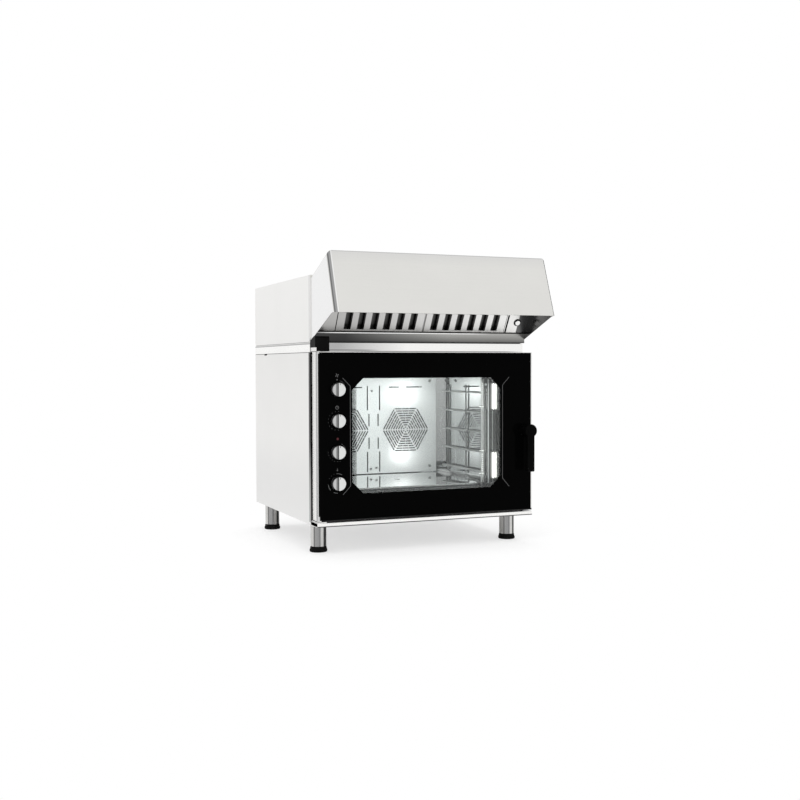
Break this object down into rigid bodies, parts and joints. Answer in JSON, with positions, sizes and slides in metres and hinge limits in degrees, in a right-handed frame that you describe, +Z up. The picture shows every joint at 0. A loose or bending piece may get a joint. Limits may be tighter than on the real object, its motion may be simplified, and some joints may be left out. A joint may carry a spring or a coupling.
{
  "type": "bakery convection oven",
  "caption": "Convection oven on legs with a glass door, control knobs, slotted fan deflector, tray racks and an extraction hood with lift-out grease filters.",
  "frame": {"origin": "on the floor plane under the middle of the whole outline", "axes": "+X to the right across the width, +Y to the rear, +Z up; the door faces -Y"},
  "size_m": [0.9, 1.081, 1.1197],
  "materials": {
    "stainless_steel": "brushed",
    "galvanised_sheet": "zinc coated",
    "motor_housing": "cast",
    "rock_wool": "matt",
    "silicone_seal": "matt",
    "black_plastic": "matt",
    "valve_body": "satin",
    "button_cap": "satin",
    "printed_glass": "black print on clear glass",
    "clear_glass": "polished",
    "lamp_glass": "frosted",
    "bearing_metal": "turned",
    "handle_black": "satin",
    "knob_chrome": "polished"
  },
  "bodies": {
    "cabinet": {"base_frame": "stainless_steel", "leg_tubes": "stainless_steel", "side_panel_left": "stainless_steel", "side_panel_right": "stainless_steel", "rear_panel": "stainless_steel", "top_cover": "stainless_steel", "front_frame": "stainless_steel", "chamber": "stainless_steel", "insulation": "rock_wool", "fan_deflector": "stainless_steel", "ring_heater_left": "stainless_steel", "ring_heater_right": "stainless_steel", "fan_motor_left": "motor_housing", "fan_motor_right": "motor_housing", "rack_left": "stainless_steel", "rack_right": "stainless_steel", "door_gasket": "silicone_seal", "door_strike": "stainless_steel", "drain_pipe": "stainless_steel", "steam_vent": "stainless_steel", "water_valve": "valve_body", "cable_gland": "black_plastic", "hinge_bracket_top": "stainless_steel", "hinge_bracket_bottom": "stainless_steel", "hinge_cover": "black_plastic", "hood_housing": "stainless_steel", "canopy": "stainless_steel", "filter_frame": "stainless_steel", "drip_channel": "stainless_steel", "exhaust_spigot": "stainless_steel", "hood_motor": "motor_housing", "hood_scroll": "galvanised_sheet", "electrical_parts": "black_plastic", "hood_switch": "black_plastic"},
    "door": {"door_frame": "stainless_steel", "door_outer_glass": "printed_glass", "door_inner_glass": "clear_glass", "control_carrier": "stainless_steel", "control_switches": "black_plastic", "pilot_lamps": "lamp_glass", "lamp_channel": "stainless_steel", "door_lamps": "lamp_glass", "hinge_bushes": "black_plastic", "handle_bearing": "bearing_metal"},
    "handle": {"handle_lever": "handle_black", "handle_spindle": "stainless_steel"},
    "left_fan": {"chamber_fan_left": "stainless_steel"},
    "right_fan": {"chamber_fan_right": "stainless_steel"},
    "blower_wheel": {"hood_fan": "galvanised_sheet"},
    "left_filter": {"filter_left": "stainless_steel"},
    "right_filter": {"filter_right": "stainless_steel"},
    "push_button": {"hood_button": "button_cap"},
    "dial_1": {"knob_1": "knob_chrome"},
    "dial_2": {"knob_2": "knob_chrome"},
    "dial_3": {"knob_3": "knob_chrome"},
    "dial_4": {"knob_4": "knob_chrome"},
    "front_left_foot": {"foot_front_left": "black_plastic"},
    "rear_left_foot": {"foot_rear_left": "black_plastic"},
    "front_right_foot": {"foot_front_right": "black_plastic"},
    "rear_right_foot": {"foot_rear_right": "black_plastic"}
  },
  "joints": [
    {"name": "door_hinge", "type": "hinge", "parent": "cabinet", "child": "door", "pos_m": [-0.43, -0.31447, 0.4446], "axis": [0, 0, -1], "range_deg": [0, 120]},
    {"name": "handle_turn", "type": "hinge", "parent": "door", "child": "handle", "pos_m": [0.416, -0.32947, 0.449], "axis": [0, 1, 0], "range_deg": [0, 90]},
    {"name": "left_fan_spin", "type": "hinge", "parent": "cabinet", "child": "left_fan", "pos_m": [-0.1395, 0.26053, 0.429], "axis": [0, 1, 0], "continuous": true},
    {"name": "right_fan_spin", "type": "hinge", "parent": "cabinet", "child": "right_fan", "pos_m": [0.1395, 0.26053, 0.429], "axis": [0, 1, 0], "continuous": true},
    {"name": "blower_spin", "type": "hinge", "parent": "cabinet", "child": "blower_wheel", "pos_m": [0, 0.28053, 0.93], "axis": [1, 0, 0], "continuous": true},
    {"name": "left_filter_lift", "type": "slide", "parent": "cabinet", "child": "left_filter", "axis": [0, -0.5, 0.866], "range_m": [0, 0.012]},
    {"name": "right_filter_lift", "type": "slide", "parent": "cabinet", "child": "right_filter", "axis": [0, -0.5, 0.866], "range_m": [0, 0.012]},
    {"name": "hood_button_press", "type": "slide", "parent": "cabinet", "child": "push_button", "axis": [0, 0.866, 0.5], "range_m": [0, 0.003], "stiffness_N_per_m": 400, "springref_m": -0.001},
    {"name": "knob_1_turn", "type": "hinge", "parent": "door", "child": "dial_1", "pos_m": [-0.372, -0.35947, 0.619], "axis": [0, 1, 0], "range_deg": [0, 270]},
    {"name": "knob_2_turn", "type": "hinge", "parent": "door", "child": "dial_2", "pos_m": [-0.372, -0.35947, 0.503], "axis": [0, 1, 0], "range_deg": [0, 330]},
    {"name": "knob_3_turn", "type": "hinge", "parent": "door", "child": "dial_3", "pos_m": [-0.372, -0.35947, 0.387], "axis": [0, 1, 0], "range_deg": [0, 300]},
    {"name": "knob_4_turn", "type": "hinge", "parent": "door", "child": "dial_4", "pos_m": [-0.372, -0.35947, 0.271], "axis": [0, 1, 0], "range_deg": [0, 270]},
    {"name": "foot_front_left_height", "type": "slide", "parent": "cabinet", "child": "front_left_foot", "axis": [0, 0, -1], "range_m": [0, 0.02]},
    {"name": "foot_rear_left_height", "type": "slide", "parent": "cabinet", "child": "rear_left_foot", "axis": [0, 0, -1], "range_m": [0, 0.02]},
    {"name": "foot_front_right_height", "type": "slide", "parent": "cabinet", "child": "front_right_foot", "axis": [0, 0, -1], "range_m": [0, 0.02]},
    {"name": "foot_rear_right_height", "type": "slide", "parent": "cabinet", "child": "rear_right_foot", "axis": [0, 0, -1], "range_m": [0, 0.02]}
  ]
}
